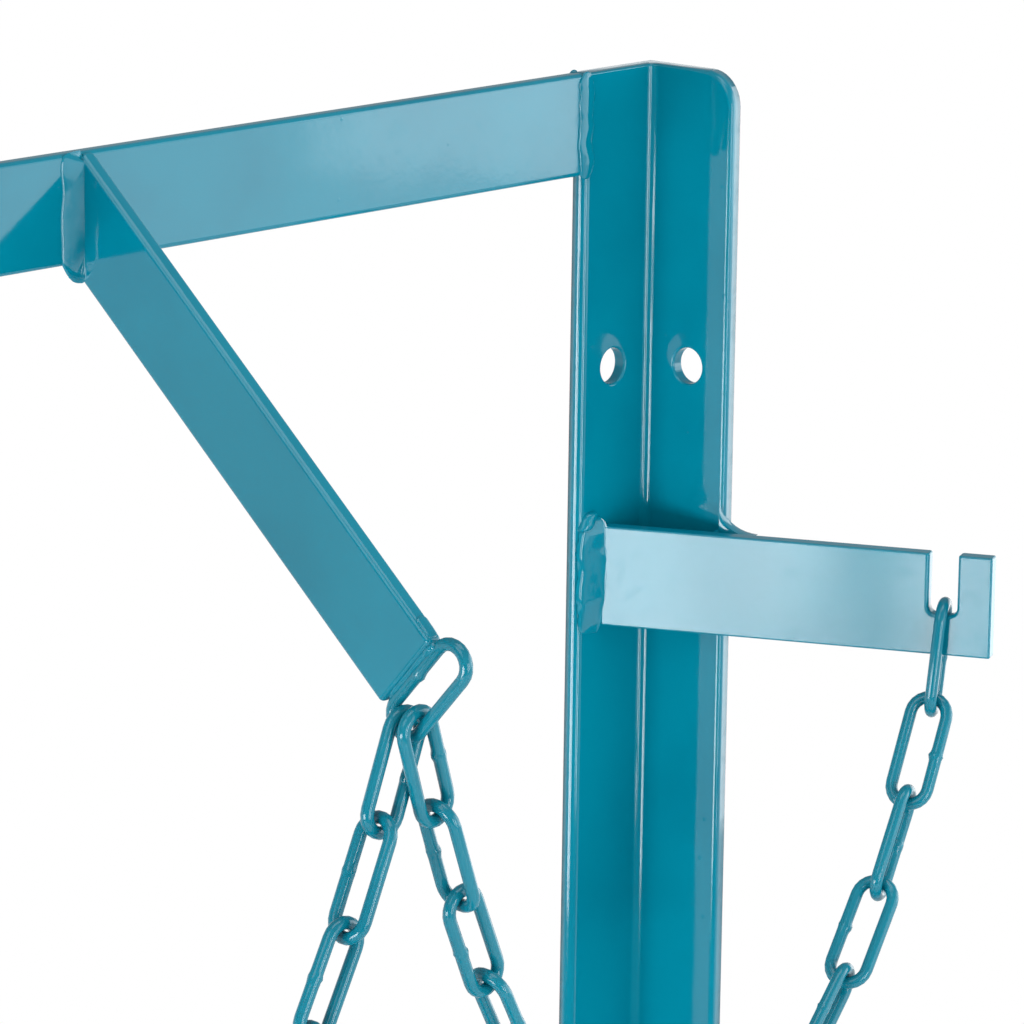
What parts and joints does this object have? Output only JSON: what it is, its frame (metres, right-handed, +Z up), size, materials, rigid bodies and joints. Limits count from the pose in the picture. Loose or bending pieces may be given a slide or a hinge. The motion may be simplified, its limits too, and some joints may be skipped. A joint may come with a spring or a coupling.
{
  "type": "gas cylinder stand",
  "caption": "Welded steel floor stand for gas cylinders: base plate, angle posts with a crossbar, notched side arms and a middle arm from which retaining chains hang.",
  "frame": {"origin": "on the floor, at the middle of the base plate", "axes": "+Z up, +X to the right of the stand as seen from the front, the front with the open bays faces -Y"},
  "size_m": [0.6162, 0.32, 1],
  "materials": {
    "frame_paint": "glossy teal powder coat on steel",
    "chain_paint": "glossy teal powder coat on steel chain"
  },
  "bodies": {
    "frame": {"arm_eye": "chain_paint", "base_plate": "frame_paint", "crossbar": "frame_paint", "crossbar_welds": "frame_paint", "eye_weld": "frame_paint", "foot_welds": "frame_paint", "left_post": "frame_paint", "left_side_arm": "frame_paint", "middle_arm": "frame_paint", "middle_arm_welds": "frame_paint", "right_post": "frame_paint", "right_side_arm": "frame_paint", "side_arm_welds": "frame_paint"},
    "right_first_link": {"right_chain_link_01": "chain_paint"},
    "right_chain": {"right_chain_link_02": "chain_paint", "right_chain_link_03": "chain_paint", "right_chain_link_04": "chain_paint", "right_chain_link_05": "chain_paint", "right_chain_link_06": "chain_paint", "right_chain_link_07": "chain_paint", "right_chain_link_08": "chain_paint", "right_chain_link_09": "chain_paint", "right_chain_link_10": "chain_paint", "right_chain_link_11": "chain_paint", "right_chain_link_12": "chain_paint", "right_chain_link_13": "chain_paint", "right_chain_link_14": "chain_paint"},
    "right_hook": {"right_hook_link": "chain_paint"},
    "left_first_link": {"left_chain_link_01": "chain_paint"},
    "left_chain": {"left_chain_link_02": "chain_paint", "left_chain_link_03": "chain_paint", "left_chain_link_04": "chain_paint", "left_chain_link_05": "chain_paint", "left_chain_link_06": "chain_paint", "left_chain_link_07": "chain_paint", "left_chain_link_08": "chain_paint", "left_chain_link_09": "chain_paint", "left_chain_link_10": "chain_paint", "left_chain_link_11": "chain_paint", "left_chain_link_12": "chain_paint", "left_chain_link_13": "chain_paint", "left_chain_link_14": "chain_paint"},
    "left_hook": {"left_hook_link": "chain_paint"}
  },
  "joints": [
    {"name": "right_first_link_turn", "type": "hinge", "parent": "frame", "child": "right_first_link", "pos_m": [0.00378, 0.00503, 0.8294], "axis": [-0.3423, -0.0347, 0.9389], "range_deg": [-1, 4]},
    {"name": "right_chain_swing", "type": "hinge", "parent": "frame", "child": "right_chain", "pos_m": [0.0094, 0.0056, 0.81398], "axis": [-0.9912, -0.101, 0.0852], "range_deg": [-4, 12]},
    {"name": "right_hook_link_turn", "type": "hinge", "parent": "frame", "child": "right_hook", "pos_m": [0.29734, 0.03433, 0.80572], "axis": [0.1154, -0.0256, 0.993], "range_deg": [-15, 6]},
    {"name": "left_first_link_turn", "type": "hinge", "parent": "frame", "child": "left_first_link", "pos_m": [-0.00479, 0.01033, 0.8283], "axis": [0.34, -0.0284, 0.94], "range_deg": [-1, 8]},
    {"name": "left_chain_swing", "type": "hinge", "parent": "frame", "child": "left_chain", "pos_m": [-0.01038, 0.0108, 0.81287], "axis": [-0.9932, 0.0835, -0.0817], "range_deg": [-4, 12]},
    {"name": "left_hook_link_turn", "type": "hinge", "parent": "frame", "child": "left_hook", "pos_m": [-0.29734, 0.03433, 0.80572], "axis": [-0.1154, -0.0256, 0.993], "range_deg": [-6, 15]}
  ]
}
